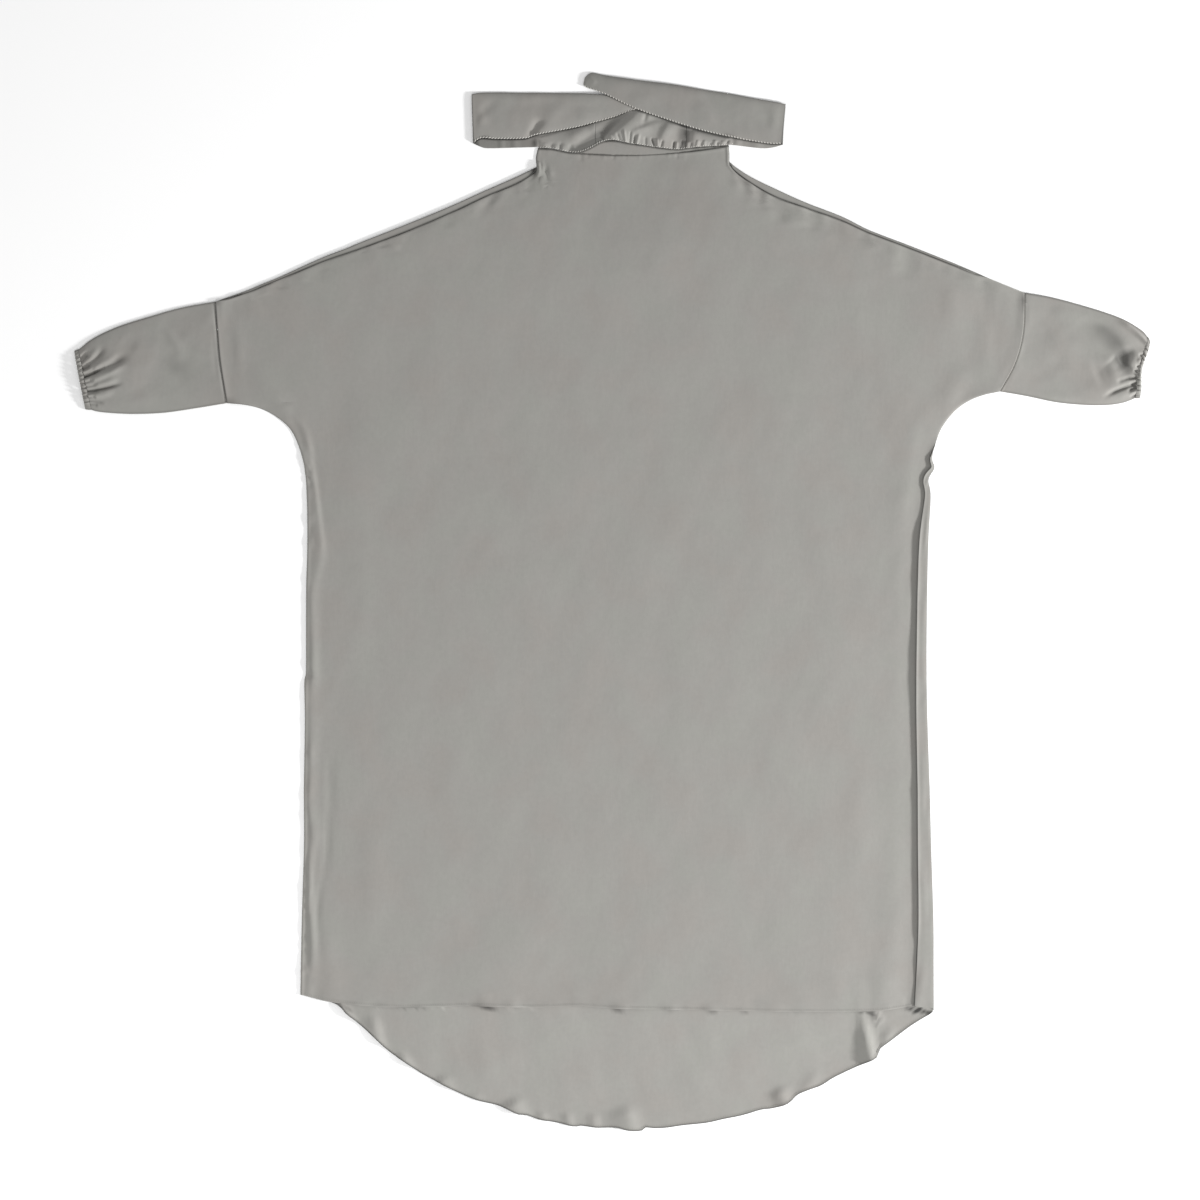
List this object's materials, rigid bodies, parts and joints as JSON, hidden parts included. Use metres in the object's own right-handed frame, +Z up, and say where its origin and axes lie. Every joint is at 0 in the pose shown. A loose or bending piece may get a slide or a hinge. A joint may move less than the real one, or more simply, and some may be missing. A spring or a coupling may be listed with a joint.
{
  "type": "jilbab laid flat",
  "caption": "Plain grey pull-on jilbab laid flat: batwing body, elastic-cuffed lower sleeves, gathered forehead band with folded ties, and a rounded back hem below a straight front hem",
  "frame": {"origin": "centre of the overall box, on the ground that the garment lies on", "axes": "+X across the garment from the wearer's right sleeve to the left sleeve as seen from above, +Y towards the forehead band, +Z up out of the ground"},
  "size_m": [1.4855, 1.459, 0.008],
  "materials": {
    "crepe_body": "smooth matt warm-grey polyester crepe",
    "crepe_sleeve": "the same crepe, gathered towards the cuff",
    "crepe_gathered": "the same crepe, puckered on elastic",
    "crepe_tie": "the same crepe, doubled and stitched along one edge"
  },
  "bodies": {
    "root": {"back_panel": "crepe_body", "front_panel": "crepe_body", "sleeve_left": "crepe_sleeve", "sleeve_right": "crepe_sleeve", "cuff_left": "crepe_gathered", "cuff_right": "crepe_gathered", "forehead_band": "crepe_gathered", "tie_left": "crepe_tie", "tie_right": "crepe_tie"}
  },
  "joints": []
}
